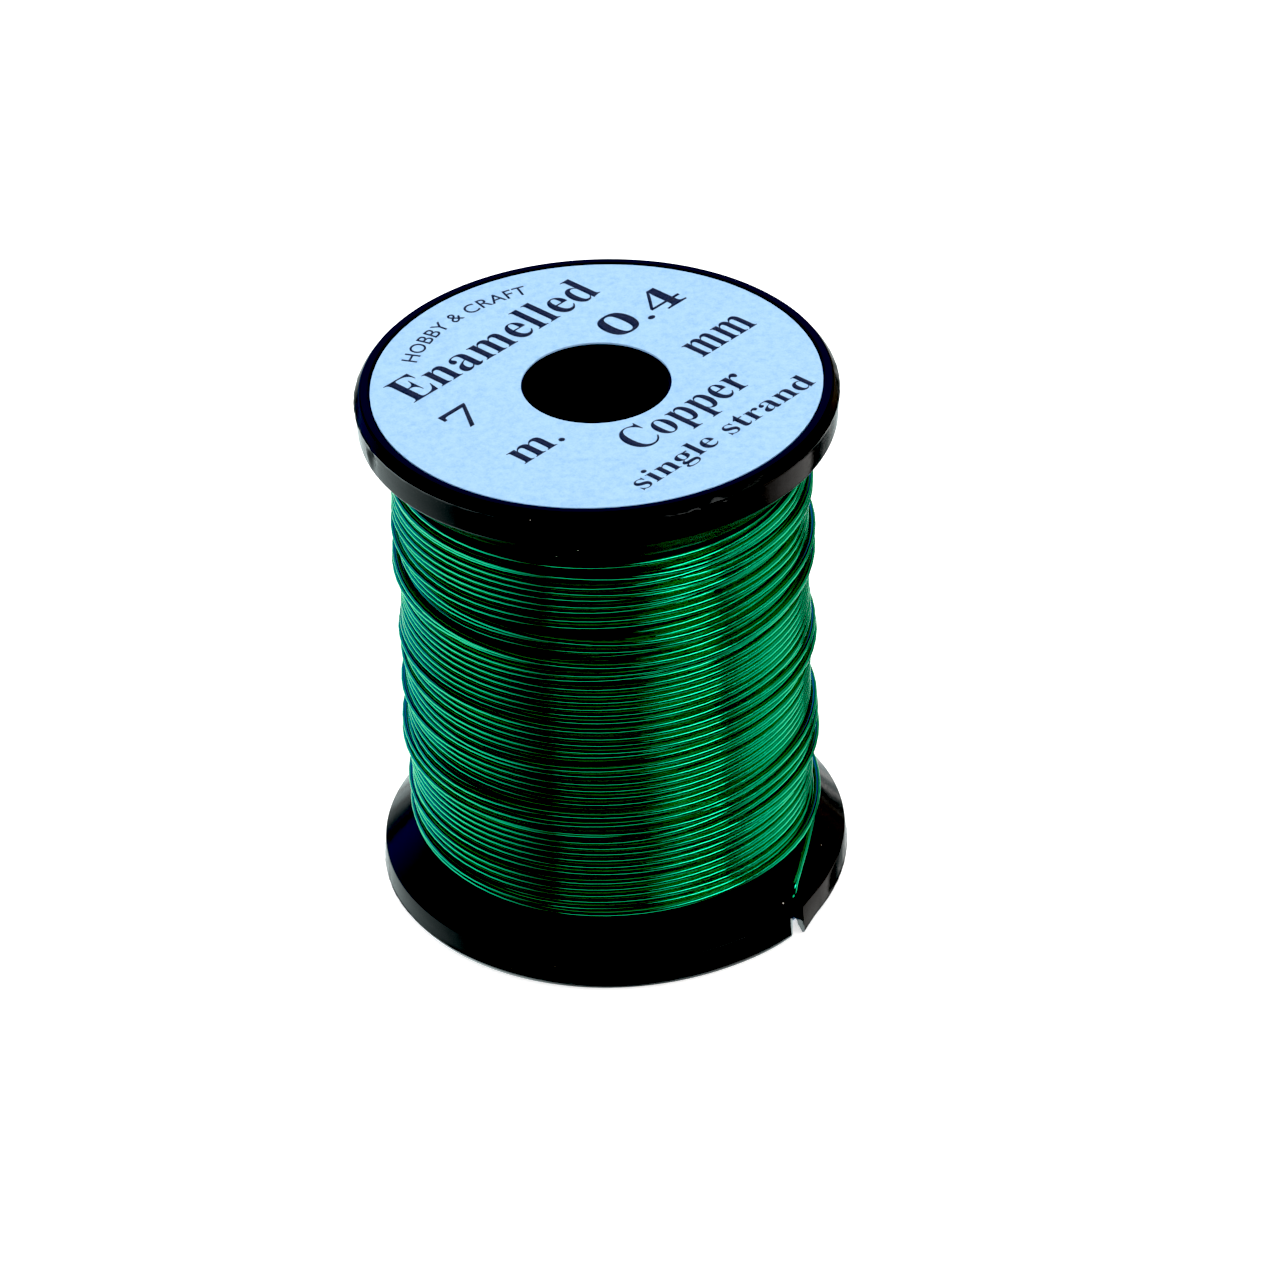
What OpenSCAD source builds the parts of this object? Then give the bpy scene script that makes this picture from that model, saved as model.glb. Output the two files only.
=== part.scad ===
// Small spool of craft wire: two moulded halves that plug together, two paper labels and one
// long wire. The origin is the middle of the underside, and +Z runs up the bore.

/* [Spool] */
// Diameter of both flanges at their moulding line
flange_d = 25; // [24.6:0.1:27]
// Height from one outer face to the other
spool_h = 29.9; // [26:0.1:40]
// Diameter of the barrel under the wire
barrel_d = 20; // [19.7:0.1:20]
// Diameter of the bore that a spindle goes through
bore_d = 7.3; // [6:0.1:7.3]

/* [Flange rims] */
// Depth of the lower rim from the outer face to the inner edge
lower_rim_h = 1.7; // [1.6:0.1:2.4]
// Depth of the upper rim from the outer face to the inner edge
upper_rim_h = 2; // [1.6:0.1:2.4]
// Distance of the moulding line from the outer face
line_z = 0.5; // [0.4:0.05:0.8]
// How far the bevel at the outer face draws in from the moulding line
bevel_in = 0.4; // [0.2:0.05:0.5]
// How far the rim draws in between the moulding line and its inner edge
rim_draft = 0.12; // [0:0.02:0.4]
// Radius of the rounding at the inner edge of the rim
shoulder_r = 0.18; // [0.1:0.01:0.25]
// Height of the cone between a rim's inner edge and the barrel
cone_h = 2.6; // [2.4:0.1:2.8]

/* [Walls] */
// Thickness of the barrel and hub walls
wall_t = 1.2; // [1:0.05:1.4]
// Thickness of the end disc under a label
disc_t = 1.5; // [1:0.1:2]
// Number of ribs between hub and barrel in each half
rib_count = 4; // [3:1:8]
// Thickness of a rib
rib_t = 1; // [0.6:0.1:1.4]
// Length of the spigot that joins the halves
spigot_l = 3; // [2:0.1:4]

/* [Labels] */
// Outer diameter of a label
label_d = 23.26; // [22:0.02:23.3]
// Diameter of the hole in a label
label_hole_d = 7.74; // [7.7:0.02:10]
// Thickness of the paper with its glue
label_t = 0.12; // [0.08:0.01:0.14]
// Depth of the seat that a label lies in
seat_h = 0.15; // [0.15:0.01:0.25]

/* [Wire] */
// Diameter of the wire over its enamel
wire_d = 0.38; // [0.3:0.01:0.39]
// Number of layers on the barrel
wire_layers = 2; // [1:1:3]

/* [Slit] */
// Width of the slit that holds the wire's end
slit_w = 0.4; // [0.39:0.01:0.5]
// Distance of the slit's middle line from the spool's axis
slit_x = 9.3; // [9.2:0.05:9.5]
// Length of the slit's widened mouth
mouth_l = 1; // [0.8:0.1:1.5]
// How far the mouth's slanted side leans away at the rim
mouth_lean = 0.4; // [0.3:0.05:0.8]

/* [Hidden] */

$fn = 96;
eps = 0.01;
// Gap between parts that fit into each other
fit_gap = 0.02;
// Gap between a label and the edge of its seat
seat_gap = 0.1;
// Radius of the rounding at the mouth of the bore
lip_r = 0.2;
arc_steps = 6;
flange_r = flange_d / 2;
barrel_r = barrel_d / 2;
bore_r = bore_d / 2;
hub_r = bore_r + wall_t;
hollow_r = barrel_r - wall_t;
joint_r = barrel_r - wall_t / 2;
mid_z = spool_h / 2;
seat_r = label_d / 2 + seat_gap;
rim_face_r = flange_r - bevel_in;
rim_top_r = flange_r - rim_draft;
floor_z = seat_h + disc_t;
rib_top_z = mid_z - spigot_l - 0.6;
joint_floor_z = mid_z - spigot_l - fit_gap;
cone_slope = cone_h / (rim_top_r - barrel_r);
winding_r = barrel_r + wire_layers * wire_d;
winding_clear = 0.03;
slit_root_r = barrel_r + 0.4;
slit_root_y = -sqrt(slit_root_r * slit_root_r - slit_x * slit_x);
slit_rim_y = -sqrt(flange_r * flange_r - slit_x * slit_x);
cut_z = lower_rim_h + cone_h + 1;

// Middle line of the wire's end, from the winding over the flange's cone and down into the slit
tail_route = [
    [10.56, 0.6, 3.97], [10.63, -0.6, 3.87], [10.6, -1.7, 3.77], [10.48, -2.8, 3.65],
    [10.28, -3.9, 3.48], [10.05, -4.9, 3.28], [9.8, -5.8, 3.07], [9.6, -6.5, 2.86],
    [9.45, -6.95, 2.65], [9.37, -7.2, 2.35], [9.32, -7.32, 1.95], [9.3, -7.34, 1.5],
    [9.3, -7.33, 0.9], [9.3, -7.31, 0.3]
];
// Middle line of the wire's first end, up the slit to the foot of the winding
start_route = [
    [9.3, -4.95, 0.3], [9.3, -4.93, 0.9], [9.3, -4.9, 1.5], [9.3, -4.87, 2.1],
    [9.3, -4.84, 2.7], [9.3, -4.8, 3.3], [9.3, -4.76, 3.7]
];
wire_sides = 8;

// Distance of a flange's cone at radius r from the outer face
function cone_z(r, rim_h) = rim_h + (rim_top_r - r) * cone_slope;

// Points of an arc about [cx, cy], from angle a0 to angle a1
function arc(cx, cy, r, a0, a1) = [
    for (i = [0 : arc_steps])
        let (a = a0 + (a1 - a0) * i / arc_steps)
        [cx + r * cos(a), cy + r * sin(a)]
];

function unit(v) = v / norm(v);

// Direction of a route at its point i
function heading(p, i) = unit(p[min(i + 1, len(p) - 1)] - p[max(i - 1, 0)]);

// Ring of points around route point i; side is a fixed direction that no stretch runs along
function ring(p, i, r, side) =
    let (t = heading(p, i), u = unit(cross(t, side)), v = cross(t, u))
    [for (k = [0 : wire_sides - 1])
        p[i] + r * cos(360 * k / wire_sides) * u + r * sin(360 * k / wire_sides) * v];

// Tube of round wire along a route
module wire_along(p, side) {
    n = len(p);
    points = [for (i = [0 : n - 1]) each ring(p, i, wire_d / 2, side)];
    walls = [
        for (i = [0 : n - 2], k = [0 : wire_sides - 1])
            let (a = i * wire_sides + k, b = i * wire_sides + (k + 1) % wire_sides)
            [a, b, b + wire_sides, a + wire_sides]
    ];
    first_cap = [for (k = [wire_sides - 1 : -1 : 0]) k];
    last_cap = [for (k = [0 : wire_sides - 1]) (n - 1) * wire_sides + k];
    polyhedron(points, concat([first_cap], walls, [last_cap]), convexity = 4);
}

// Section of a half from the bore's lip, along the outer face and round the rim to the joint
function outer_section(rim_h) = concat(
    arc(bore_r + lip_r, seat_h + lip_r, lip_r, 180, 270),
    [[seat_r, seat_h], [seat_r, 0], [rim_face_r, 0]],
    arc(flange_r - line_z / 2, line_z, line_z / 2, -50, 0),
    arc(rim_top_r - shoulder_r, rim_h - shoulder_r, shoulder_r, 0, 50),
    [[barrel_r, rim_h + cone_h], [barrel_r, mid_z]]
);

// Section of a half from its hollow's floor back to the bore
function hub_section() = [
    [hollow_r, floor_z], [hub_r, floor_z], [hub_r, mid_z - fit_gap], [bore_r, mid_z - fit_gap]
];

module ribs() {
    for (i = [0 : rib_count - 1])
        rotate([0, 0, 45 + i * 360 / rib_count])
            translate([hub_r - wall_t / 2, -rib_t / 2, floor_z - eps])
                cube([hollow_r - hub_r + wall_t, rib_t, rib_top_z - floor_z]);
}

// Half with a socket in its barrel
module socket_half() {
    rotate_extrude()
        polygon(concat(
            outer_section(lower_rim_h),
            [[joint_r, mid_z], [joint_r, joint_floor_z], [hollow_r, joint_floor_z]],
            hub_section()
        ));
    ribs();
}

// Half with a spigot on its barrel
module spigot_half() {
    rotate_extrude()
        polygon(concat(
            outer_section(upper_rim_h),
            [
                [joint_r - fit_gap, mid_z],
                [joint_r - fit_gap, mid_z + spigot_l],
                [hollow_r, mid_z + spigot_l]
            ],
            hub_section()
        ));
    ribs();
}

// Narrow cut along a chord of the flange, with a slanted mouth at the rim
module slit() {
    left_x = slit_x - slit_w / 2;
    right_x = slit_x + slit_w / 2;
    apex_y = slit_rim_y + mouth_l;
    translate([0, 0, -1])
        linear_extrude(height = cut_z + 1) {
            translate([slit_x, slit_root_y])
                circle(d = slit_w, $fn = 24);
            polygon([
                [left_x, slit_root_y],
                [left_x, -flange_r],
                [right_x + mouth_lean * 2, -flange_r],
                [right_x + mouth_lean, slit_rim_y],
                [right_x, apex_y],
                [right_x, slit_root_y]
            ]);
        }
}

module label() {
    rotate_extrude()
        translate([label_hole_d / 2, 0])
            square([(label_d - label_hole_d) / 2, label_t]);
}

module lower_half() {
    color("#0d0d10")
        difference() {
            socket_half();
            slit();
        }
}

module upper_half() {
    color("#131318")
        translate([0, 0, spool_h])
            mirror([0, 0, 1])
                spigot_half();
}

module top_label() {
    color("#84b4e0")
        translate([0, 0, spool_h - seat_h])
            label();
}

module bottom_label() {
    color("#84b4e0")
        translate([0, 0, seat_h - label_t])
            label();
}

// Outer shape of all the turns: each end lies on its flange's cone
module wire_winding() {
    inner_r = barrel_r + fit_gap;
    color("#0c8a56")
        rotate_extrude()
            polygon([
                [inner_r, cone_z(inner_r, lower_rim_h) + winding_clear],
                [winding_r, cone_z(winding_r, lower_rim_h) + winding_clear],
                [winding_r, spool_h - cone_z(winding_r, upper_rim_h) - winding_clear],
                [inner_r, spool_h - cone_z(inner_r, upper_rim_h) - winding_clear]
            ]);
}

module wire_start() {
    color("#0c8a56")
        wire_along(start_route, [0, 1, 0]);
}

module wire_tail() {
    color("#0fa868")
        wire_along(tail_route, [1, 0, 0]);
}

lower_half();
upper_half();
top_label();
bottom_label();
wire_winding();
wire_start();
wire_tail();
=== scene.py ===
"""A small spool of green craft wire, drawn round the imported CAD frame. Lengths are in mm
until a mesh is made, and the frame is the CAD one: +Z up the bore, origin under the spool."""

import math

import bmesh
import bpy
import numpy as np
from mathutils import Matrix, Vector


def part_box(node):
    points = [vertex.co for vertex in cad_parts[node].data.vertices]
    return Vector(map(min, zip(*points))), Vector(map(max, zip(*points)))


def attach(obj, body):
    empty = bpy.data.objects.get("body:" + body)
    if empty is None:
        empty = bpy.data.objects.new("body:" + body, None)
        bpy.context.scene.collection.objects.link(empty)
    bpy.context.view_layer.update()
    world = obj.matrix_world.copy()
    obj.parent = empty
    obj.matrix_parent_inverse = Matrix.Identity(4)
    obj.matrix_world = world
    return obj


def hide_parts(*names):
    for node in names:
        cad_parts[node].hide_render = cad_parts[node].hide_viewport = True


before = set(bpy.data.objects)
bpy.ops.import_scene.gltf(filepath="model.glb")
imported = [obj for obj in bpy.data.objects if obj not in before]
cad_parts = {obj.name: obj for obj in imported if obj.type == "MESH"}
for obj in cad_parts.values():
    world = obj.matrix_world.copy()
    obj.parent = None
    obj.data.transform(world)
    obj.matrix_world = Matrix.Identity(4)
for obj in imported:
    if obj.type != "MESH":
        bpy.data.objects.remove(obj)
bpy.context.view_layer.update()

MM = 0.001
BODY = "root"

# ---------------------------------------------------------------- sizes taken from the frame
def box_mm(node):
    """Lowest and highest corners of a CAD node, in mm."""
    low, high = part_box(node)
    return Vector(low) / MM, Vector(high) / MM


LOWER_HIGH = box_mm("lower_half")[1]
UPPER_LOW, UPPER_HIGH = box_mm("upper_half")
LABEL_LOW, LABEL_HIGH = box_mm("top_label")

FLANGE_R = LOWER_HIGH.x
SPOOL_H = UPPER_HIGH.z
MID_Z = LOWER_HIGH.z
LABEL_R = LABEL_HIGH.x
LABEL_T = LABEL_HIGH.z - LABEL_LOW.z
SPIGOT_L = MID_Z - UPPER_LOW.z

# ------------------------------------------------------- sizes that repeat those of the CAD
WIRE_D = 0.38
WIRE_R = WIRE_D / 2
BARREL_R = 10.0
BORE_R = 3.65
WALL_T = 1.2
DISC_T = 1.5
SEAT_H = 0.15
SEAT_R = LABEL_R + 0.1
LABEL_HOLE_R = 3.87
LIP_R = 0.2
FIT_GAP = 0.02
LOWER_RIM_H = 1.7
UPPER_RIM_H = 2.0
CONE_H = 2.6
BEVEL_IN = 0.4
RIM_DRAFT = 0.12
LINE_Z = 0.5
RIB_COUNT = 4
RIB_T = 1.0
SLIT_X = 9.3
SLIT_W = 0.4
MOUTH_L = 1.0
MOUTH_LEAN = 0.4
TAIL_ROUTE = [
    (10.56, 0.6, 3.97), (10.63, -0.6, 3.87), (10.6, -1.7, 3.77), (10.48, -2.8, 3.65),
    (10.28, -3.9, 3.48), (10.05, -4.9, 3.28), (9.8, -5.8, 3.07), (9.6, -6.5, 2.86),
    (9.43, -7.0, 2.65), (9.34, -7.27, 2.4), (9.29, -7.36, 2.05), (9.28, -7.22, 1.7),
    (9.28, -6.9, 1.4), (9.29, -6.4, 1.1), (9.3, -5.9, 0.9),
]
START_ROUTE = [
    (9.3, -4.95, 0.3), (9.3, -4.93, 0.9), (9.3, -4.9, 1.5), (9.3, -4.87, 2.1),
    (9.3, -4.84, 2.7), (9.3, -4.8, 3.3), (9.3, -4.76, 3.7),
]

RIM_TOP_R = FLANGE_R - RIM_DRAFT
CONE_SLOPE = CONE_H / (RIM_TOP_R - BARREL_R)
SLIT_ROOT_Y = -math.sqrt((BARREL_R + 0.4) ** 2 - SLIT_X**2)
SLIT_RIM_Y = -math.sqrt(FLANGE_R**2 - SLIT_X**2)


# ------------------------------------------------------------------------- camera and stage
CAMERA_PLACE = Vector((1.723, -260.168, 194.359))
CAMERA_PITCH = math.radians(34.777)  # how far it looks down
CAMERA_ROLL = math.radians(-2.236)
CAMERA_LENS = 168.75
CAMERA_SENSOR = 36
FLOOR_REACH = 900.0  # how far the flat floor runs
FLOOR_BEND = 300.0  # radius of its turn up into a wall
WALL_H = 900.0
PANEL_REACH = 600.0  # distance of the panels from the spool
SIDE_FADE = 3  # a panel is at full strength a third of its width from each side
HEIGHT_FADE = 5  # and a fifth of its height from its lower and upper edge
TONE_BLACK = (0.021, 0.0)  # display tone curve: where black starts
TONE_DARK = (0.13, 0.117)  # and where it meets the straight line again


def make_camera():
    """The view from in front and above."""
    data = bpy.data.cameras.new("camera")
    data.sensor_width = CAMERA_SENSOR
    data.lens = CAMERA_LENS
    data.clip_start = 0.01
    data.clip_end = 20
    camera = link("camera", data)
    turn = Matrix.Rotation(math.pi / 2 - CAMERA_PITCH, 4, "X") @ Matrix.Rotation(CAMERA_ROLL, 4, "Z")
    camera.matrix_world = Matrix.Translation(CAMERA_PLACE * MM) @ turn
    bpy.context.scene.camera = camera


def link(name, mesh):
    """New object in the scene with this mesh or other data."""
    piece = bpy.data.objects.new(name, mesh)
    bpy.context.scene.collection.objects.link(piece)
    return piece


def lamp(name, centre, size, aim, colour, power):
    """A soft area light for the matt surfaces; glossy ones see the panels instead."""
    data = bpy.data.lights.new(name, "AREA")
    data.shape = "RECTANGLE"
    data.size = size[0] * MM
    data.size_y = size[1] * MM
    data.color = colour
    data.energy = power
    piece = link(name, data)
    place = Vector(centre) * MM
    look = Vector(aim) * MM - place
    piece.matrix_world = Matrix.Translation(place) @ look.to_track_quat("-Z", "Y").to_matrix().to_4x4()
    piece.visible_glossy = False


def panel(name, sides, heights, colour, strength):
    """A soft-edged studio panel that only shows in glossy surfaces.

    sides and heights are its reach in degrees seen from the spool: 0 is the front, 90 is to
    the right, and heights are above the horizon."""
    rows = 12
    columns = 24
    points = []
    glow = []
    for i in range(rows + 1):
        for k in range(columns + 1):
            u = k / columns
            v = i / rows
            side = math.radians(sides[0] + (sides[1] - sides[0]) * u)
            height = math.radians(heights[0] + (heights[1] - heights[0]) * v)
            flat = PANEL_REACH * math.cos(height)
            point = (flat * math.sin(side), -flat * math.cos(side), PANEL_REACH * math.sin(height))
            points.append([c * MM for c in point])
            edge = min(u, 1 - u) * SIDE_FADE if sides[1] - sides[0] < 360 else 1
            edge = min(1, edge, min(v, 1 - v if heights[1] < 90 else 1) * HEIGHT_FADE)
            glow.append(edge * edge * (3 - 2 * edge))
    wide = columns + 1
    faces = [
        (i * wide + k, i * wide + k + 1, (i + 1) * wide + k + 1, (i + 1) * wide + k)
        for i in range(rows)
        for k in range(columns)
    ]
    mesh = bpy.data.meshes.new(name)
    mesh.from_pydata(points, [], faces)
    attribute = mesh.attributes.new("glow", "FLOAT", "POINT")
    attribute.data.foreach_set("value", glow)
    mesh.materials.append(panel_glow(name, colour, strength))
    piece = link(name, mesh)
    piece.visible_camera = False
    piece.visible_diffuse = False
    piece.visible_shadow = False


def panel_glow(name, colour, strength):
    """Glowing material that fades with the mesh's own glow values."""
    material = bpy.data.materials.new(name)
    material.use_nodes = True
    nodes = material.node_tree.nodes
    links = material.node_tree.links
    nodes.clear()
    fade = nodes.new("ShaderNodeAttribute")
    fade.attribute_name = "glow"
    power = nodes.new("ShaderNodeMath")
    power.operation = "MULTIPLY"
    power.inputs[1].default_value = strength
    links.new(fade.outputs["Fac"], power.inputs[0])
    emission = nodes.new("ShaderNodeEmission")
    emission.inputs["Color"].default_value = (*colour, 1)
    links.new(power.outputs[0], emission.inputs["Strength"])
    out = nodes.new("ShaderNodeOutputMaterial")
    links.new(emission.outputs[0], out.inputs["Surface"])
    return material


def floor_paper():
    """Matt white paper that glows a little."""
    material = bpy.data.materials.new("floor_paper")
    material.use_nodes = True
    shader = material.node_tree.nodes["Principled BSDF"]
    shader.inputs["Base Color"].default_value = (0.9, 0.9, 0.9, 1)
    shader.inputs["Roughness"].default_value = 0.9
    shader.inputs["Specular IOR Level"].default_value = 0.1
    shader.inputs["Emission Color"].default_value = (1, 1, 1, 1)
    shader.inputs["Emission Strength"].default_value = 0.6
    return material


def make_floor():
    """A pale floor that turns up into a wall all round."""
    arc = [
        (FLOOR_REACH + FLOOR_BEND * math.sin(a), FLOOR_BEND - FLOOR_BEND * math.cos(a))
        for a in np.linspace(0, math.pi / 2, 12)
    ]
    section = [(0.0, 0.0), *arc, (FLOOR_REACH + FLOOR_BEND, WALL_H)]
    turns = 64
    points = []
    faces = []
    for k in range(turns):
        angle = 2 * math.pi * k / turns
        points += [(r * math.cos(angle) * MM, r * math.sin(angle) * MM, z * MM) for r, z in section]
    n = len(section)
    for k in range(turns):
        a = k * n
        b = (k + 1) % turns * n
        faces += [(a + i, b + i, b + i + 1, a + i + 1) for i in range(n - 1)]
    mesh = bpy.data.meshes.new("floor")
    mesh.from_pydata(points, [], faces)
    mesh.validate()
    mesh.shade_smooth()
    mesh.materials.append(floor_paper())
    floor = link("floor", mesh)
    floor.visible_glossy = False


def make_lamps():
    """Soft lamps for the matt surfaces: place, size, aim, colour and power."""
    spool = (0, 0, 15)
    lamp("lamp_top", (0, 60, 420), (420, 420), spool, (1, 0.99, 0.97), 2.2)
    lamp("lamp_left", (-380, -60, 220), (260, 300), spool, (0.9, 0.95, 1), 0.7)
    lamp("lamp_right", (380, -120, 240), (220, 300), spool, (1, 0.98, 0.95), 0.9)


def make_panels():
    """Panels for the glossy surfaces: sides, heights, colour and strength."""
    panel("panel_right", (56, 225), (-45, -3), (1, 0.98, 0.95), 1.6)
    panel("panel_right_mid", (60, 190), (-8, 26), (1, 0.85, 0.7), 0.5)
    panel("panel_right_high", (60, 135), (20, 48), (1, 0.85, 0.7), 0.8)
    panel("panel_right_low", (44, 215), (-75, -38), (1, 0.97, 0.92), 0.7)
    panel("panel_key", (14, 104), (18, 30), (0.95, 1, 1), 8.0)
    panel("panel_left_low", (-235, -34), (-75, -6), (0.85, 1, 1), 1.5)
    panel("panel_left_mid", (-190, -84), (-14, 28), (0.35, 0.65, 1.5), 0.65)
    panel("panel_front_low", (-70, 70), (-54, -31), (0.95, 1, 0.9), 1.5)
    panel("panel_top", (-180, 180), (63, 90), (0.9, 1, 0.7), 0.6)
    panel("panel_back", (150, 210), (20, 55), (0.1, 0.14, 0.8), 1.5)


def make_world():
    """A nearly black surrounding."""
    world = bpy.data.worlds.new("world")
    world.use_nodes = True
    world.node_tree.nodes["Background"].inputs["Color"].default_value = (0.001, 0.001, 0.002, 1)
    bpy.context.scene.world = world


def set_tone():
    """Display tones with deep blacks."""
    view = bpy.context.scene.view_settings
    view.view_transform = "Standard"
    view.use_curve_mapping = True
    curve = view.curve_mapping.curves[3]
    curve.points[0].location = TONE_BLACK
    curve.points.new(*TONE_DARK)
    view.curve_mapping.update()


def make_stage():
    """The floor, the lights and the display's tones."""
    make_floor()
    make_lamps()
    make_panels()
    make_world()
    set_tone()


# -------------------------------------------------------------------------------- materials
class Nodes:
    """Small helper that adds shader nodes to a new material and joins them."""

    def __init__(self, name):
        self.material = bpy.data.materials.new(name)
        self.material.use_nodes = True
        self.tree = self.material.node_tree
        self.shader = self.tree.nodes["Principled BSDF"]

    def add(self, kind, inputs=(), **settings):
        """New node; an input may be a value or another node's output."""
        node = self.tree.nodes.new(kind)
        for key, value in settings.items():
            setattr(node, key, value)
        for key, value in dict(inputs).items():
            if isinstance(value, bpy.types.NodeSocket):
                self.tree.links.new(value, node.inputs[key])
            else:
                node.inputs[key].default_value = value
        return node

    def place(self):
        """Coordinates that stay with the object."""
        return self.add("ShaderNodeTexCoord").outputs["Object"]

    def noise(self, scale_per_mm, detail=2.0, rough=0.5):
        """Cloudy noise from 0 to 1."""
        node = self.add(
            "ShaderNodeTexNoise",
            {"Vector": self.place(), "Scale": scale_per_mm / MM, "Detail": detail, "Roughness": rough},
        )
        return node.outputs["Fac"]

    def ramp(self, fac, stops):
        """Colour ramp; stops are (place, grey or colour)."""
        node = self.add("ShaderNodeValToRGB", {"Fac": fac})
        elements = node.color_ramp.elements
        while len(elements) < len(stops):
            elements.new(0.5)
        for element, (at, colour) in zip(elements, stops, strict=True):
            element.position = at
            element.color = (*colour, 1) if isinstance(colour, tuple) else (colour,) * 3 + (1,)
        return node.outputs["Color"]

    def bump(self, height, distance_mm, strength=1.0, under=None):
        """Surface bumps, on top of the bumps given as under."""
        inputs = {"Height": height, "Distance": distance_mm * MM, "Strength": strength}
        if under is not None:
            inputs["Normal"] = under
        return self.add("ShaderNodeBump", inputs).outputs["Normal"]

    def set(self, **values):
        """Sets or joins the shader's own inputs, with _ for a space in their names."""
        for key, value in values.items():
            socket = self.shader.inputs[key.replace("_", " ")]
            if isinstance(value, bpy.types.NodeSocket):
                self.tree.links.new(value, socket)
            else:
                socket.default_value = value


def black_plastic():
    """Moulded black styrene: nearly black and glossy, with faint flow marks and a little dust."""
    n = Nodes("black_plastic")
    haze = n.noise(0.3, 3.0, 0.5)
    grain = n.noise(5.0, 3.0, 0.6)
    cells = n.add(
        "ShaderNodeTexVoronoi",
        {"Vector": n.place(), "Scale": 0.9 / MM, "Randomness": 1.0},
        feature="F1",
    )
    chosen = n.add("ShaderNodeSeparateColor", {"Color": cells.outputs["Color"]}).outputs["Red"]
    few = n.add("ShaderNodeMath", {0: chosen, 1: 0.8}, operation="GREATER_THAN").outputs[0]
    near = n.ramp(cells.outputs["Distance"], [(0.0, 1.0), (0.03, 1.0), (0.045, 0.0)])
    dust = n.add("ShaderNodeMath", {0: few, 1: near}, operation="MULTIPLY").outputs[0]
    base = n.ramp(haze, [(0.3, 0.0012), (0.75, 0.0022)])
    mix = n.add("ShaderNodeMix", {"Factor": dust}, data_type="RGBA")
    n.tree.links.new(base, mix.inputs["A"])
    mix.inputs["B"].default_value = (0.4, 0.38, 0.34, 1)
    n.set(Base_Color=mix.outputs["Result"])
    n.set(Roughness=n.ramp(grain, [(0.35, 0.1), (0.7, 0.2)]))
    fine = n.bump(grain, 0.002, 0.4)
    n.set(Normal=n.bump(haze, 0.05, 0.5, fine))
    n.set(Specular_IOR_Level=0.15, IOR=1.38)
    return n.material


def blue_paper():
    """Pale sky-blue label stock: soft mottling, and a tooth of fine fibres."""
    n = Nodes("blue_paper")
    mottle = n.noise(2.4, 5.0, 0.7)
    tooth = n.noise(11.0, 3.0, 0.7)
    part = n.add("ShaderNodeMath", {0: tooth, 1: 0.45}, operation="MULTIPLY").outputs[0]
    both = n.add("ShaderNodeMath", {0: mottle, 1: 0.55, 2: part}, operation="MULTIPLY_ADD").outputs[0]
    n.set(
        Base_Color=n.ramp(
            both,
            [(0.32, (0.18, 0.33, 0.53)), (0.5, (0.25, 0.41, 0.62)), (0.66, (0.29, 0.46, 0.67))],
        )
    )
    n.set(Normal=n.bump(both, 0.03, 0.6))
    n.set(Roughness=0.75, Specular_IOR_Level=0.25)
    return n.material


def black_ink():
    """Dry printing ink, not quite solid."""
    n = Nodes("black_ink")
    patches = n.noise(12.0, 3.0, 0.7)
    n.set(Base_Color=n.ramp(patches, [(0.3, (0.006, 0.008, 0.02)), (0.75, (0.02, 0.025, 0.05))]))
    n.set(Roughness=0.6, Specular_IOR_Level=0.3)
    return n.material


def green_enamel():
    """Bright copper seen through green enamel, under the enamel's own gloss."""
    n = Nodes("green_enamel")
    tone = n.noise(0.5, 3.0, 0.6)
    n.set(Base_Color=n.ramp(tone, [(0.3, (0.003, 0.42, 0.2)), (0.7, (0.006, 0.5, 0.25))]))
    n.set(Metallic=1.0, Roughness=n.ramp(n.noise(1.5), [(0.3, 0.12), (0.7, 0.18)]))
    n.set(Coat_Weight=0.45, Coat_Roughness=0.05, Coat_IOR=1.5)
    n.set(Specular_Tint=(0.15, 0.9, 0.6, 1))
    return n.material


def cut_copper():
    """The wire's cut ends."""
    n = Nodes("cut_copper")
    n.set(Base_Color=n.ramp(n.noise(14.0), [(0.3, (0.75, 0.28, 0.14)), (0.7, (0.9, 0.42, 0.25))]))
    n.set(Metallic=1.0, Roughness=0.35)
    return n.material


# ------------------------------------------------------------------------------ mesh helpers
SHARP_ANGLE = math.radians(35)


def rounded(corners, steps=5):
    """Closed outline through corners (r, z, fillet): a fillet above 0 rounds its corner."""
    out = []
    for i, (x, y, fillet) in enumerate(corners):
        p = np.array((x, y))
        if fillet <= 0:
            out.append(p)
            continue
        back = np.array(corners[i - 1][:2]) - p
        on = np.array(corners[(i + 1) % len(corners)][:2]) - p
        back_l, on_l = np.linalg.norm(back), np.linalg.norm(on)
        back, on = back / back_l, on / on_l
        half = math.acos(max(-1.0, min(1.0, float(back @ on)))) / 2
        cut = min(fillet / math.tan(half), 0.48 * back_l, 0.48 * on_l)
        for t in np.linspace(0, 1, steps + 1):
            out.append(p + back * cut * (1 - t) ** 2 + on * cut * t**2)
    return np.array(out)


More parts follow.
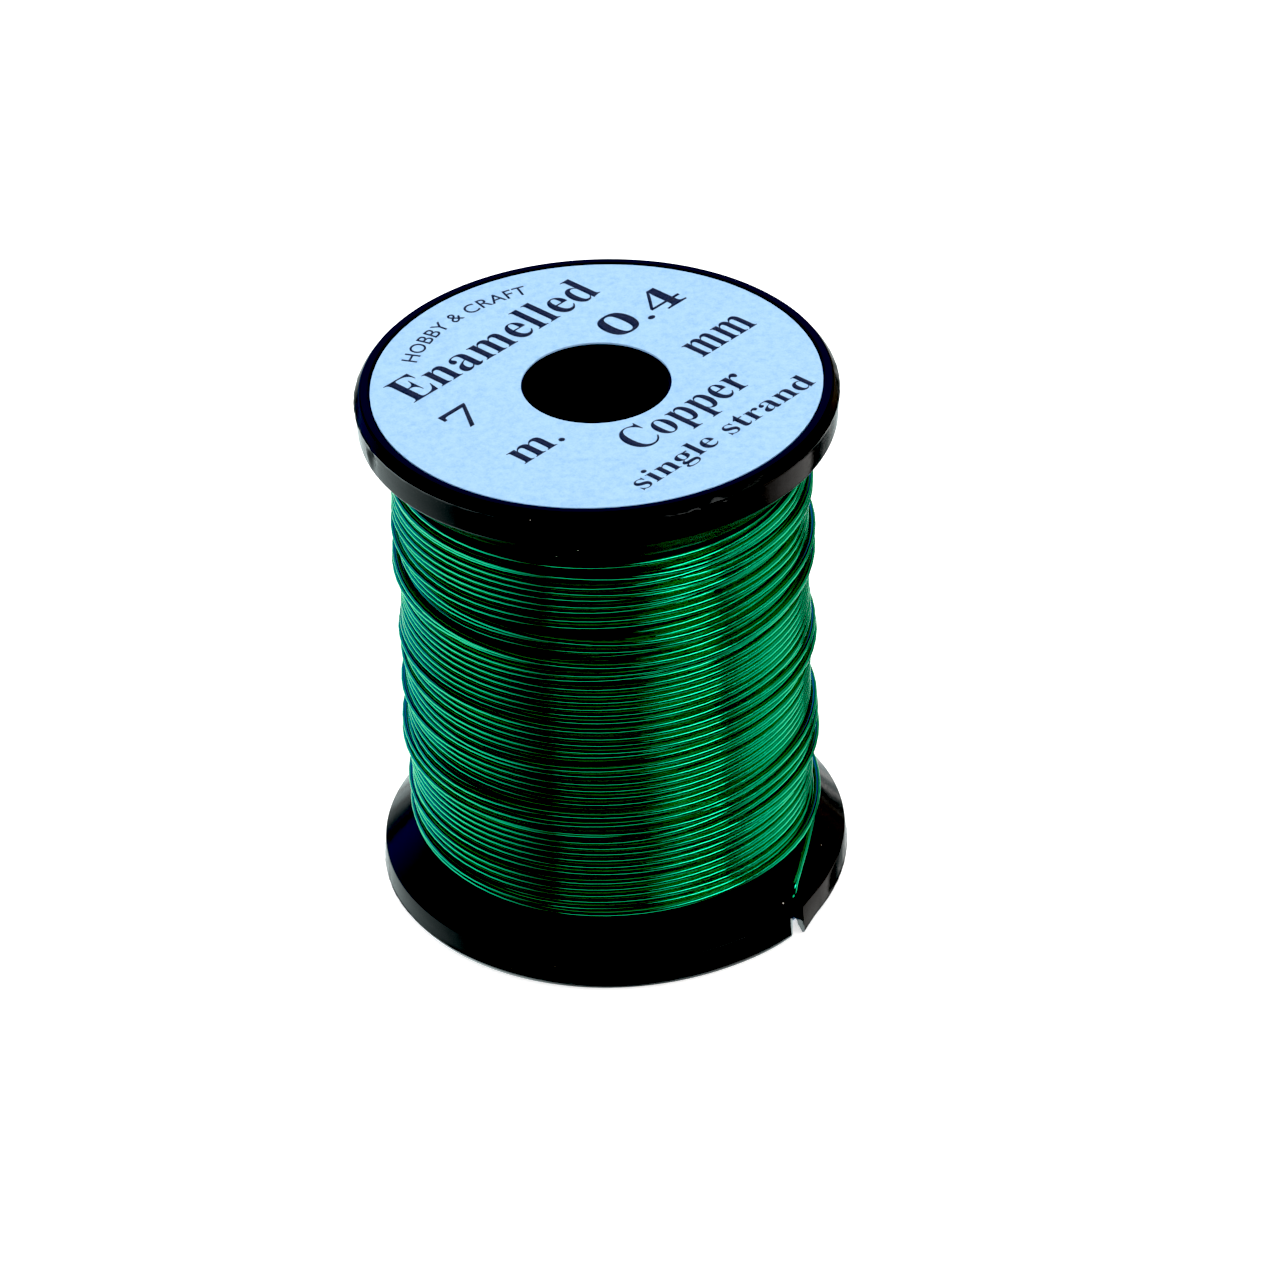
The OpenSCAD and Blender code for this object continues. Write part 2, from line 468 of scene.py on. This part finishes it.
def lathe(name, outline, segments, shift=None):
    """Solid ring turned from a closed outline of (r, z) points; shift moves its points."""
    n = len(outline)
    angle = np.arange(segments)[:, None] * 2 * math.pi / segments
    r = np.broadcast_to(outline[:, 0], (segments, n)).copy()
    z = np.broadcast_to(outline[:, 1], (segments, n)).copy()
    if shift:
        r, z = shift(r, z, np.broadcast_to(angle, (segments, n)))
    points = np.stack([r * np.cos(angle), r * np.sin(angle), z], axis=2).reshape(-1, 3)
    k, i = np.meshgrid(np.arange(segments), np.arange(n), indexing="ij")
    k1, i1 = (k + 1) % segments, (i + 1) % n
    faces = np.stack([k * n + i, k1 * n + i, k1 * n + i1, k * n + i1], axis=2).reshape(-1, 4)
    mesh = bpy.data.meshes.new(name)
    mesh.from_pydata((points * MM).tolist(), [], faces.tolist())
    fix_normals(mesh)
    return mesh


def fix_normals(mesh):
    """Turns all faces of a closed mesh outwards."""
    work = bmesh.new()
    work.from_mesh(mesh)
    bmesh.ops.recalc_face_normals(work, faces=work.faces)
    work.to_mesh(mesh)
    work.free()


def soften(mesh):
    """Smooth shading that keeps the corners crisp."""
    mesh.shade_smooth()
    mesh.set_sharp_from_angle(angle=SHARP_ANGLE)


def waves(angle, seed, counts, size):
    """A smooth random curve round the spool: a sum of sines with whole numbers of waves."""
    rng = np.random.default_rng(seed)
    total = np.zeros_like(angle)
    for count in counts:
        total = total + rng.normal(0, 1) * np.sin(count * angle + rng.uniform(0, 2 * math.pi))
    return size * total / math.sqrt(len(counts))


def combine(piece, tool_mesh, operation):
    """Applies a boolean between the piece and a tool made from tool_mesh."""
    tool = link("tool", tool_mesh)
    modifier = piece.modifiers.new("cut", "BOOLEAN")
    modifier.operation = operation
    modifier.solver = "EXACT"
    modifier.object = tool
    graph = bpy.context.evaluated_depsgraph_get()
    result = bpy.data.meshes.new_from_object(piece.evaluated_get(graph))
    piece.modifiers.clear()
    piece.data = result
    bpy.data.objects.remove(tool)


def prism(name, outline, low, high):
    """Upright prism on an outline of (x, y) points given anticlockwise."""
    n = len(outline)
    points = [(x * MM, y * MM, low * MM) for x, y in outline]
    points += [(x * MM, y * MM, high * MM) for x, y in outline]
    faces = [tuple(reversed(range(n))), tuple(range(n, 2 * n))]
    faces += [(i, (i + 1) % n, n + (i + 1) % n, n + i) for i in range(n)]
    mesh = bpy.data.meshes.new(name)
    mesh.from_pydata(points, [], faces)
    fix_normals(mesh)
    return mesh


def finish_piece(piece, slot, *nodes):
    """Fixes a piece to the body and hides the CAD nodes that it stands for; slot is not used."""
    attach(piece, BODY)
    if nodes:
        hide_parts(*nodes)


# ------------------------------------------------------------------------------ spool halves
HALF_SEGMENTS = 480
FIN_H = 0.018  # typical height of the flash on the moulding line
RIM_UNEVEN = 0.003  # typical unevenness of the rim
NECK_LEFT = SLIT_X - 0.09  # the slit's sides where it is narrowest
NECK_RIGHT = SLIT_X - 0.03
NECK_Y = SLIT_RIM_Y + MOUTH_L + 0.6
RIM_SPREAD = 0.2  # how far the rim stands out at the slit
TONGUE_Y = -6.5  # where the tongue starts to bend
TONGUE_L = 1.4
TONGUE_BEND = 0.75  # how far its point is bent out


def half_outline(rim_h, joint):
    """Section of a half, from the bore's mouth round the flange to the joint and back."""
    hollow_r = BARREL_R - WALL_T
    hub_r = BORE_R + WALL_T
    floor_z = SEAT_H + DISC_T
    return rounded(
        [
            (BORE_R, SEAT_H, LIP_R),
            (SEAT_R, SEAT_H, 0.02),
            (SEAT_R, 0, 0.04),
            (FLANGE_R - BEVEL_IN + 0.08, 0, 0.2),
            (FLANGE_R - 0.06, LINE_Z - 0.12, 0.12),
            (FLANGE_R - 0.02, LINE_Z - 0.03, 0),
            (FLANGE_R - 0.005, LINE_Z, 0),
            (FLANGE_R - 0.02, LINE_Z + 0.03, 0),
            *[(FLANGE_R - 0.02 - 0.08 * t, LINE_Z + 0.03 + 1.0 * t, 0) for t in (0.12, 0.25, 0.4, 0.6)],
            (RIM_TOP_R, rim_h, 0.22),
            (BARREL_R, rim_h + CONE_H, 0.12),
            (BARREL_R, MID_Z, 0.03),
            *joint,
            (hollow_r, floor_z, 0.3),
            (hub_r, floor_z, 0.3),
            (hub_r, MID_Z - FIT_GAP, 0.05),
            (BORE_R, MID_Z - FIT_GAP, 0.02),
        ]
    )


def flash(seed, nicks=()):
    """Shift that gives the moulding line a thin broken flash, and the rim its nicks.

    A nick is (angle in degrees, distance from the outer face, length, depth)."""

    def shift(r, z, angle):
        edge = np.exp(-(((z - LINE_Z) / 0.03) ** 2)) * (r > FLANGE_R - 0.1)
        fin = waves(angle, seed, (7, 13, 29, 53, 97), FIN_H)
        uneven = waves(angle, seed + 1, (3, 5, 11, 17), RIM_UNEVEN)
        outer = np.clip((r - RIM_TOP_R + 0.4) / 0.4, 0, 1)
        moved = r + edge * np.maximum(fin, -0.008) + outer * uneven
        for at, depth_z, length, depth in nicks:
            along = (np.degrees(angle) - at + 180) % 360 - 180
            along = np.radians(along) * FLANGE_R / length
            across = (z - depth_z) / (length * 0.45)
            bowl = np.exp(-(along**2) - across**2)
            lip = np.exp(-((along + 0.9) ** 2) * 3 - (across - 0.7) ** 2)
            moved = moved - outer * (depth * bowl - 0.6 * depth * lip)
        return moved, z

    return shift


def rib_boxes(name):
    """The ribs between hub and barrel, as one mesh of separate boxes."""
    hub_r, hollow_r = BORE_R + WALL_T, BARREL_R - WALL_T
    low, high = SEAT_H + DISC_T - 0.05, MID_Z - SPIGOT_L - 0.6
    work = bmesh.new()
    for k in range(RIB_COUNT):
        turn = Matrix.Rotation(math.pi / 4 + k * 2 * math.pi / RIB_COUNT, 4, "Z")
        scale = Matrix.Diagonal(((hollow_r - hub_r + WALL_T), RIB_T, high - low, 1))
        move = Matrix.Translation(((hub_r + hollow_r) / 2, 0, (low + high) / 2))
        bmesh.ops.create_cube(work, size=1, matrix=Matrix.Scale(MM, 4) @ turn @ move @ scale)
    mesh = bpy.data.meshes.new(name)
    work.to_mesh(mesh)
    work.free()
    return mesh


def slit_outline():
    """Plan of the slit: round at its root, and nearly closed where its V-shaped mouth begins."""
    left, right = SLIT_X - SLIT_W / 2, SLIT_X + SLIT_W / 2
    root = [
        (SLIT_X + SLIT_W / 2 * math.cos(a), SLIT_ROOT_Y + SLIT_W / 2 * math.sin(a))
        for a in np.linspace(0, math.pi, 9)
    ]
    return [
        *root,
        (left, NECK_Y + 0.5),
        (NECK_LEFT, NECK_Y),
        (left - 0.1, SLIT_RIM_Y),
        (left - 0.1, -FLANGE_R),
        (right + MOUTH_LEAN * 2, -FLANGE_R),
        (right + MOUTH_LEAN, SLIT_RIM_Y),
        (NECK_RIGHT, NECK_Y),
        (right, NECK_Y + 0.5),
    ]


def make_half(name, rim_h, joint, shift, upside_down=False, cut=None):
    """A half with its ribs; cut is the mesh of what is cut out of it."""
    piece = link(name, lathe(name, half_outline(rim_h, joint), HALF_SEGMENTS, shift))
    combine(piece, rib_boxes("ribs"), "UNION")
    if cut:
        combine(piece, cut, "DIFFERENCE")
    if upside_down:
        turn = Matrix.Translation((0, 0, SPOOL_H * MM)) @ Matrix.Diagonal((1, 1, -1, 1))
        piece.data.transform(turn)
        piece.data.flip_normals()
    return piece


def bend_hook(mesh):
    """Spreads the rim a little at the slit, and bends the tongue's pointed end outwards."""
    slit_angle = math.atan2(SLIT_RIM_Y, SLIT_X)
    for v in mesh.vertices:
        x, y, z = v.co / MM
        r = math.hypot(x, y)
        low = max(0.0, 1 - z / 4)
        near = math.exp(-(((math.atan2(y, x) - slit_angle) / 0.3) ** 2))
        push = RIM_SPREAD * near * low * min(1, max(0, (r - 10.6) / 1.5))
        v.co.x += x / r * push * MM
        v.co.y += y / r * push * MM
        if x > SLIT_X - 0.04 and y < TONGUE_Y:
            w = min(1.0, (TONGUE_Y - y) / TONGUE_L) * low
            v.co.y -= TONGUE_BEND * w * w * MM


def make_halves():
    """Both halves in black plastic, the lower one with the slit."""
    joint_r = BARREL_R - WALL_T / 2
    hollow_r = BARREL_R - WALL_T
    socket = [
        (joint_r, MID_Z, 0.03),
        (joint_r, MID_Z - SPIGOT_L - FIT_GAP, 0.03),
        (hollow_r, MID_Z - SPIGOT_L - FIT_GAP, 0.03),
    ]
    spigot = [
        (joint_r - FIT_GAP, MID_Z, 0),
        (joint_r - FIT_GAP, MID_Z + SPIGOT_L, 0.1),
        (hollow_r, MID_Z + SPIGOT_L, 0.05),
    ]
    cut = prism("slit", slit_outline(), -1, LOWER_RIM_H + CONE_H + 1)
    lower_shift = flash(11, [(-118, 0.9, 0.25, 0.05), (25, 1.2, 0.4, 0.05), (130, 0.7, 0.5, 0.08)])
    lower = make_half("spool_lower_half", LOWER_RIM_H, socket, lower_shift, cut=cut)
    bend_hook(lower.data)
    upper_shift = flash(23, [(-158, 0.95, 0.5, 0.16), (-62, 0.5, 0.22, 0.06), (40, 0.9, 0.4, 0.07)])
    upper = make_half("spool_upper_half", UPPER_RIM_H, spigot, upper_shift, upside_down=True)
    plastic = black_plastic()
    for piece, node in ((lower, "lower_half"), (upper, "upper_half")):
        piece.data.materials.clear()
        piece.data.materials.append(plastic)
        soften(piece.data)
        finish_piece(piece, "spool_plastic", node)


# ------------------------------------------------------------------------------------ labels
LABEL_LINES = [
    # words, height of capitals, length, left end and baseline in the label's frame
    ("Enamelled", 2.3, 14.0, -7.4, 5.8),
    ("0.4", 2.0, 5.2, 3.9, 1.95),
    ("mm", 2.3, 4.2, 5.3, -2.6),
    ("7", 1.8, 1.9, -7.7, 2.0),
    ("m.", 2.0, 3.0, -7.9, -2.5),
    ("Copper", 2.1, 8.4, -3.25, -6.2),
    ("single strand", 1.3, 13.0, -5.8, -8.7),
]
ARC_WORDS = "HOBBY & CRAFT"
ARC_R, ARC_START, ARC_CAP = 9.6, 165, 0.85
TEXT_TURN = math.radians(46)
SERIF_CAP = 0.68  # height of capitals in the built-in font's own units
SANS_CAP = 0.7
INK_T = 0.006
LABEL_SEGMENTS = 384


def serif(words):
    """The same words in the built-in font's bold serif letters."""
    shifted = ""
    for c in words:
        if c.isupper():
            shifted += chr(0x1D400 + ord(c) - ord("A"))
        elif c.islower():
            shifted += chr(0x1D41A + ord(c) - ord("a"))
        elif c.isdigit():
            shifted += chr(0x1D7CE + ord(c) - ord("0"))
        else:
            shifted += c
    return shifted


def make_label(name, bottom_z, paper, seed):
    """A ring of paper with slightly uneven edges."""
    outline = rounded(
        [
            (LABEL_HOLE_R, 0.0, 0.015),
            (LABEL_R, 0.0, 0.015),
            (LABEL_R, LABEL_T, 0.03),
            (LABEL_HOLE_R, LABEL_T, 0.03),
        ],
        3,
    )

    def shift(r, z, angle):
        edge = waves(angle, seed, (5, 31, 67, 113), 0.006)
        return r + edge * np.where(r > BORE_R * 2, 1, -1), z

    mesh = lathe(name, outline, LABEL_SEGMENTS, shift)
    mesh.transform(Matrix.Translation((0, 0, bottom_z * MM)))
    mesh.materials.append(paper)
    soften(mesh)
    return link(name, mesh)


def add_words(work, words, place, thicken, path=None, length=None):
    """Adds flat lettering, 1 high in the font's own units or stretched to a length, to a bmesh."""
    data = bpy.data.curves.new("words", "FONT")
    data.body = words
    data.resolution_u = 5
    data.offset = thicken
    data.follow_curve = path
    holder = link("words", data)
    bpy.context.view_layer.update()
    graph = bpy.context.evaluated_depsgraph_get()
    mesh = bpy.data.meshes.new_from_object(holder.evaluated_get(graph))
    if length:
        across = [v.co.x for v in mesh.vertices]
        fit = Matrix.Scale(length / (max(across) - min(across)), 4, (1, 0, 0))
        mesh.transform(fit @ Matrix.Translation((-min(across), 0, 0)))
    mesh.transform(Matrix.Scale(MM, 4) @ place)
    work.from_mesh(mesh)
    bpy.data.meshes.remove(mesh)
    bpy.data.objects.remove(holder)


def arc_path(radius):
    """Curve that lettering follows clockwise round the label's upper left."""
    data = bpy.data.curves.new("arc", "CURVE")
    data.dimensions = "3D"
    spline = data.splines.new("POLY")
    spline.points.add(60)
    for i, point in enumerate(spline.points):
        angle = math.radians(ARC_START - i * 1.5)
        point.co = (radius * math.cos(angle), radius * math.sin(angle), 0, 1)
    return link("arc", data)


def print_lines(name, top_z, ink):
    """The label's generic wording as thin raised ink."""
    work = bmesh.new()
    for words, cap, length, left, base in LABEL_LINES:
        place = (
            Matrix.Rotation(TEXT_TURN, 4, "Z")
            @ Matrix.Translation((left, base, 0))
            @ Matrix.Diagonal((1, cap / SERIF_CAP, 1, 1))
        )
        add_words(work, serif(words), place, -0.004, length=length)
    scale = ARC_CAP / SANS_CAP
    path = arc_path(ARC_R / scale)
    add_words(work, ARC_WORDS, Matrix.Scale(scale, 4), 0.004, path)
    bpy.data.objects.remove(path)
    for v in work.verts:
        v.co.z = top_z * MM
    bmesh.ops.remove_doubles(work, verts=work.verts, dist=1e-8)
    sides = bmesh.ops.extrude_face_region(work, geom=work.faces[:])
    lifted = [v for v in sides["geom"] if isinstance(v, bmesh.types.BMVert)]
    bmesh.ops.translate(work, verts=lifted, vec=(0, 0, INK_T * MM))
    bmesh.ops.recalc_face_normals(work, faces=work.faces)
    mesh = bpy.data.meshes.new(name)
    work.to_mesh(mesh)
    work.free()
    mesh.materials.append(ink)
    return link(name, mesh)


def make_labels():
    """Both labels, and the print on the upper one."""
    paper = blue_paper()
    ink = black_ink()
    top = make_label("label_top", SPOOL_H - SEAT_H, paper, 5)
    finish_piece(top, "label_paper", "top_label")
    bottom = make_label("label_bottom", SEAT_H - LABEL_T, paper, 6)
    finish_piece(bottom, "label_paper", "bottom_label")
    printed = print_lines("label_top_print", SPOOL_H - SEAT_H + LABEL_T, ink)
    finish_piece(printed, "label_paper")


# -------------------------------------------------------------------------------------- wire
STEPS = 72  # points in a turn
LAYER_TURNS = (54, 53)
PLAY = ((0.45, 0.22), (5.0, 0.04))  # the guide's wandering: its period in turns, and its size
BLOCK = 9  # points laid at a time
AHEAD = 2  # blocks looked at beyond the one that is laid
GRIP = 0.35  # slope that friction holds the wire on
TURN_LOW = LOWER_RIM_H + CONE_H + 0.02
TURN_HIGH = SPOOL_H - UPPER_RIM_H - CONE_H - 0.02
LAYER_STEP = 0.6  # how much further the second layer reaches at each end
WIND_SEED = 9
LEAD_TURNS = 0.2  # part of a turn over which the wire follows on from the last stretch
SLIDES = 24  # small slides that a fed stretch makes at most
SLIDE_STEP = 0.03
SQUEEZE = 0.012  # how far the wire's pull presses it into the turns under it
FINAL_PASSES = 20  # rounds of evening out at the end
WIRE_SIDES = 9
ROUTE_DENSITY = 4  # points per mm along the wire's two ends


def support(z, laid_z, laid_r):
    """Smallest radius at height z that the flanges, barrel and turns already laid leave."""
    lift = WIRE_R * math.sqrt(1 + CONE_SLOPE**2)
    low = np.full(z.shape, BARREL_R + WIRE_R)
    low = np.maximum(low, RIM_TOP_R - (z - LOWER_RIM_H - lift) / CONE_SLOPE)
    low = np.maximum(low, RIM_TOP_R - (SPOOL_H - z - UPPER_RIM_H - lift) / CONE_SLOPE)
    if len(laid_z):
        room = 1 - ((z - laid_z) / WIRE_D) ** 2
        over = np.where(room > 0, laid_r + WIRE_D * np.sqrt(np.maximum(room, 0)), 0)
        low = np.maximum(low, over.max(axis=0))
    return low


def ease(line, passes, floor=None):
    """Evens a line out between its fixed first and last points, staying above a floor."""
    for _ in range(passes):
        line[1:-1] = 0.25 * line[:-2] + 0.5 * line[1:-1] + 0.25 * line[2:]
        if floor is not None:
            line[1:-1] = np.maximum(line[1:-1], floor[1:-1])
    return line


def guide(rng, count):
    """Height at which the winder's guide feeds each point: up the barrel and back, with play."""
    turn = np.arange(count) / STEPS
    up, down = LAYER_TURNS
    reach = TURN_HIGH - TURN_LOW
    first = TURN_LOW + reach * np.clip(turn / up, 0, 1)
    back = np.clip((turn - up) / down, 0, 1)
    second = TURN_HIGH + LAYER_STEP - (reach + 2 * LAYER_STEP) * back
    blend = np.clip((turn - up + 0.25) * 2, 0, 1)
    z = first * (1 - blend) + second * blend
    for period, size in PLAY:
        knots = rng.normal(0, size, int(count / STEPS / period) + 4)
        place = turn / period
        i = place.astype(int)
        f = place - i
        f = f * f * (3 - 2 * f)
        z = z + knots[i] * (1 - f) + knots[i + 1] * f
    return np.clip(z, TURN_LOW - LAYER_STEP, TURN_HIGH + LAYER_STEP)


def settle(z, before, below):
    """Lets a fed stretch slide down the turns under it until friction holds it."""
    probe = 0.015
    for step in range(SLIDES):
        slope = (support(z + probe, *below) - support(z - probe, *below)) / (2 * probe)
        z = z - np.where(np.abs(slope) > GRIP, np.sign(slope), 0) * SLIDE_STEP * (1 - step / SLIDES)
        if len(before):
            z = ease(np.concatenate([before, z, z[-1:]]), 2)[2:-1]
        z = np.clip(z, TURN_LOW - LAYER_STEP, TURN_HIGH + LAYER_STEP)
    return z


def wind():
    """Winds the wire turn by turn, and returns each point's height and radius.

    Each stretch starts where the guide feeds it, settles on the turns under it, and is pulled
    tight against them."""
    rng = np.random.default_rng(WIND_SEED)
    total = sum(LAYER_TURNS)
    count = total * STEPS
    window = BLOCK * (AHEAD + 1)
    plan = guide(rng, count + window)
    z_line = np.zeros(count + window)
    r_line = np.zeros(count + window)
    z_line[0] = plan[0]
    r_line[0] = BARREL_R + WIRE_R
    laid_z = np.full((total + 1, STEPS), -99.0)
    laid_r = np.zeros((total + 1, STEPS))
    for start in range(0, count, BLOCK):
        index = np.arange(start, start + window)
        column = index % STEPS
        rows = start // STEPS + 1
        below = laid_z[:rows, column], laid_r[:rows, column]
        z = plan[index].copy()
        before = z_line[start - 2 : start] if start > 1 else z[:0]
        if len(before):
            lead = 2 * before[1] - before[0] - z[0]
            z += lead * np.exp(-np.arange(window) / (STEPS * LEAD_TURNS))
        z = settle(z, before, below)
        rest = support(z, *below)
        last = r_line[start - 1] if start else rest[0]
        floor = np.concatenate([[0], rest - SQUEEZE, [0]])
        tight = ease(np.concatenate([[last], rest, rest[-1:]]), 6, floor)[1:-1]
        z_line[index[:BLOCK]] = z[:BLOCK]
        r_line[index[:BLOCK]] = tight[:BLOCK]
        for k in range(BLOCK):
            laid_z[index[k] // STEPS, column[k]] = z[k]
            laid_r[index[k] // STEPS, column[k]] = tight[k]
    return ease(z_line[:count], FINAL_PASSES), ease(r_line[:count], FINAL_PASSES)


def smooth_curve(points, per_mm):
    """Points along a Catmull-Rom curve through the given ones, evenly close."""
    p = np.array(points, float)
    p = np.vstack([2 * p[0] - p[1], p, 2 * p[-1] - p[-2]])
    out = []
    for i in range(1, len(p) - 2):
        a, b, c, d = p[i - 1], p[i], p[i + 1], p[i + 2]
        square = 2 * a - 5 * b + 4 * c - d
        cube = 3 * b - a - 3 * c + d
        n = max(2, int(np.linalg.norm(c - b) * per_mm))
        for t in np.arange(n) / n:
            out.append(0.5 * (2 * b + (c - a) * t + square * t**2 + cube * t**3))
    out.append(p[-2])
    return np.array(out)


def wire_line():
    """Middle line of the whole wire: up the slit, round the barrel, and back into the slit."""
    z, r = wind()
    first = math.atan2(START_ROUTE[-1][1], START_ROUTE[-1][0]) - 0.1
    last = math.atan2(TAIL_ROUTE[0][1], TAIL_ROUTE[0][0]) + 0.1
    step = 2 * math.pi / STEPS
    spare = ((first - last) % (2 * math.pi)) / step
    count = len(z) - STEPS + int(round(spare))
    z, r = z[:count], r[:count]
    z[-STEPS:] -= np.linspace(0, 1, STEPS) ** 2 * (z[-1] - (TAIL_ROUTE[0][2] + 0.02))
    angle = first - np.arange(count) * step
    turns = np.stack([r * np.cos(angle), r * np.sin(angle), z], axis=1)
    head = smooth_curve(np.vstack([START_ROUTE, turns[:2]]), ROUTE_DENSITY)
    tail = smooth_curve(np.vstack([turns[-2:], TAIL_ROUTE]), ROUTE_DENSITY)
    return np.vstack([head[:-1], turns[1:-2], tail])


def tube(name, line, radius, sides, skin, cut):
    """Closed round tube along a line, with its two end faces in the cut material."""
    ahead = np.gradient(line, axis=0)
    ahead /= np.linalg.norm(ahead, axis=1)[:, None]
    side = np.zeros_like(line)
    side[0] = np.cross(ahead[0], (1, 0, 0))
    for i in range(1, len(line)):
        turned = side[i - 1] - ahead[i] * (side[i - 1] @ ahead[i])
        side[i] = turned / np.linalg.norm(turned)
    side[0] /= np.linalg.norm(side[0])
    other = np.cross(ahead, side)
    a = np.arange(sides) * 2 * math.pi / sides
    rings = (
        line[:, None]
        + radius * np.cos(a)[None, :, None] * side[:, None]
        + radius * np.sin(a)[None, :, None] * other[:, None]
    )
    n = len(line)
    i, k = np.meshgrid(np.arange(n - 1), np.arange(sides), indexing="ij")
    k1 = (k + 1) % sides
    walls = np.stack([i * sides + k, i * sides + k1, (i + 1) * sides + k1, (i + 1) * sides + k], axis=2)
    faces = walls.reshape(-1, 4).tolist()
    faces.append(list(range(sides - 1, -1, -1)))
    faces.append(list(range((n - 1) * sides, n * sides)))
    mesh = bpy.data.meshes.new(name)
    mesh.from_pydata((rings.reshape(-1, 3) * MM).tolist(), [], faces)
    mesh.materials.append(skin)
    mesh.materials.append(cut)
    mesh.shade_smooth()
    mesh.polygons[-1].material_index = 1
    mesh.polygons[-2].material_index = 1
    fix_normals(mesh)
    return link(name, mesh)


def make_wire():
    """The whole wire as one tube."""
    line = wire_line()
    length = np.linalg.norm(np.diff(line, axis=0), axis=1).sum()
    print("wire length, m:", round(float(length) * MM, 3), "points", len(line))
    wire = tube("wire", line, WIRE_R, WIRE_SIDES, green_enamel(), cut_copper())
    finish_piece(wire, "enamelled_wire", "wire_winding", "wire_start", "wire_tail")


make_camera()
make_wire()
make_stage()
make_halves()
make_labels()
